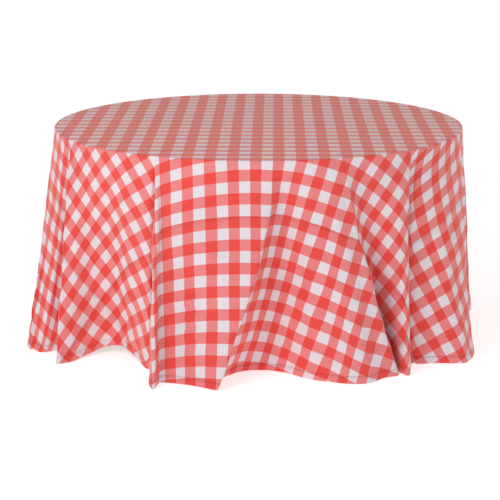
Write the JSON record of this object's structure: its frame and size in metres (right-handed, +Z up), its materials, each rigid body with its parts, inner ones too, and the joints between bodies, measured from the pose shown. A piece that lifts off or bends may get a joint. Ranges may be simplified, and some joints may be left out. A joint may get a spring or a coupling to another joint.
{
  "type": "round tablecloth on a folding table",
  "caption": "Floor-length round checked tablecloth with a stitched hem, hanging in folds over a round plywood folding table with hinged tubular leg frames and folding braces.",
  "frame": {"origin": "on the floor under the centre of the table", "axes": "+Z up, +X to the right, -Y towards the person who looks at the front of the cloth"},
  "size_m": [1.6721, 1.8159, 0.7498],
  "materials": {
    "check_cloth": "plain weave check, soft sheen",
    "hem_cloth": "turned and stitched hem",
    "plywood": "birch plywood, clear sealed",
    "laminate": "satin laminate",
    "edge_vinyl": "satin vinyl band",
    "batten_wood": "planed softwood",
    "zinc_steel": "bright zinc plate",
    "painted_steel": "dark powder coat",
    "glide_plastic": "moulded, matt"
  },
  "bodies": {
    "table": {"tabletop_core": "plywood", "top_laminate": "laminate", "edge_band": "edge_vinyl", "front_batten": "batten_wood", "back_batten": "batten_wood", "hinge_batten": "batten_wood", "batten_screws": "zinc_steel", "saddle_screws": "zinc_steel", "anchor_screws": "zinc_steel", "left_saddle_front": "zinc_steel", "left_saddle_back": "zinc_steel", "left_brace_anchor": "zinc_steel", "left_anchor_rivet": "zinc_steel", "right_saddle_front": "zinc_steel", "right_saddle_back": "zinc_steel", "right_brace_anchor": "zinc_steel", "right_anchor_rivet": "zinc_steel"},
    "cloth": {"tablecloth": "check_cloth", "tablecloth_hem": "hem_cloth"},
    "left_leg_frame": {"left_pivot_tube": "painted_steel", "left_leg_front": "painted_steel", "left_leg_back": "painted_steel", "left_glide_front": "glide_plastic", "left_glide_back": "glide_plastic", "left_brace_crossbar": "painted_steel", "left_foot_crossbar": "painted_steel", "left_brace_clip": "painted_steel", "left_clip_rivet": "zinc_steel"},
    "left_upper_link": {"left_upper_link": "zinc_steel", "left_upper_knee_rivet": "zinc_steel"},
    "left_lower_link": {"left_lower_link": "zinc_steel", "left_lower_knee_rivet": "zinc_steel"},
    "right_leg_frame": {"right_pivot_tube": "painted_steel", "right_leg_front": "painted_steel", "right_leg_back": "painted_steel", "right_glide_front": "glide_plastic", "right_glide_back": "glide_plastic", "right_brace_crossbar": "painted_steel", "right_foot_crossbar": "painted_steel", "right_brace_clip": "painted_steel", "right_clip_rivet": "zinc_steel"},
    "right_upper_link": {"right_upper_link": "zinc_steel", "right_upper_knee_rivet": "zinc_steel"},
    "right_lower_link": {"right_lower_link": "zinc_steel", "right_lower_knee_rivet": "zinc_steel"}
  },
  "joints": [
    {"name": "cloth_lift", "type": "slide", "parent": "table", "child": "cloth", "axis": [0, 0, 1], "range_m": [0, 0.8]},
    {"name": "left_leg_fold", "type": "hinge", "parent": "table", "child": "left_leg_frame", "pos_m": [-0.5, 0, 0.7], "axis": [0, -1, 0], "range_deg": [0, 93.3]},
    {"name": "left_upper_link_fold", "type": "hinge", "parent": "table", "child": "left_upper_link", "pos_m": [-0.22, 0, 0.7], "axis": [0, 1, 0], "range_deg": [0, 43.35]},
    {"name": "left_lower_link_fold", "type": "hinge", "parent": "left_leg_frame", "child": "left_lower_link", "pos_m": [-0.51612, 0, 0.42046], "axis": [0, -1, 0], "range_deg": [0, 43.35]},
    {"name": "right_leg_fold", "type": "hinge", "parent": "table", "child": "right_leg_frame", "pos_m": [0.5, 0, 0.67], "axis": [0, 1, 0], "range_deg": [0, 93.3]},
    {"name": "right_upper_link_fold", "type": "hinge", "parent": "table", "child": "right_upper_link", "pos_m": [0.22, 0, 0.67], "axis": [0, -1, 0], "range_deg": [0, 43.35]},
    {"name": "right_lower_link_fold", "type": "hinge", "parent": "right_leg_frame", "child": "right_lower_link", "pos_m": [0.51612, 0, 0.39046], "axis": [0, 1, 0], "range_deg": [0, 43.35]}
  ],
  "couplings": [
    {"joint": "left_upper_link_fold", "follows": "left_leg_fold", "ratio": 0.46463},
    {"joint": "left_lower_link_fold", "follows": "left_leg_fold", "ratio": 0.46463},
    {"joint": "right_upper_link_fold", "follows": "right_leg_fold", "ratio": 0.46463},
    {"joint": "right_lower_link_fold", "follows": "right_leg_fold", "ratio": 0.46463}
  ]
}
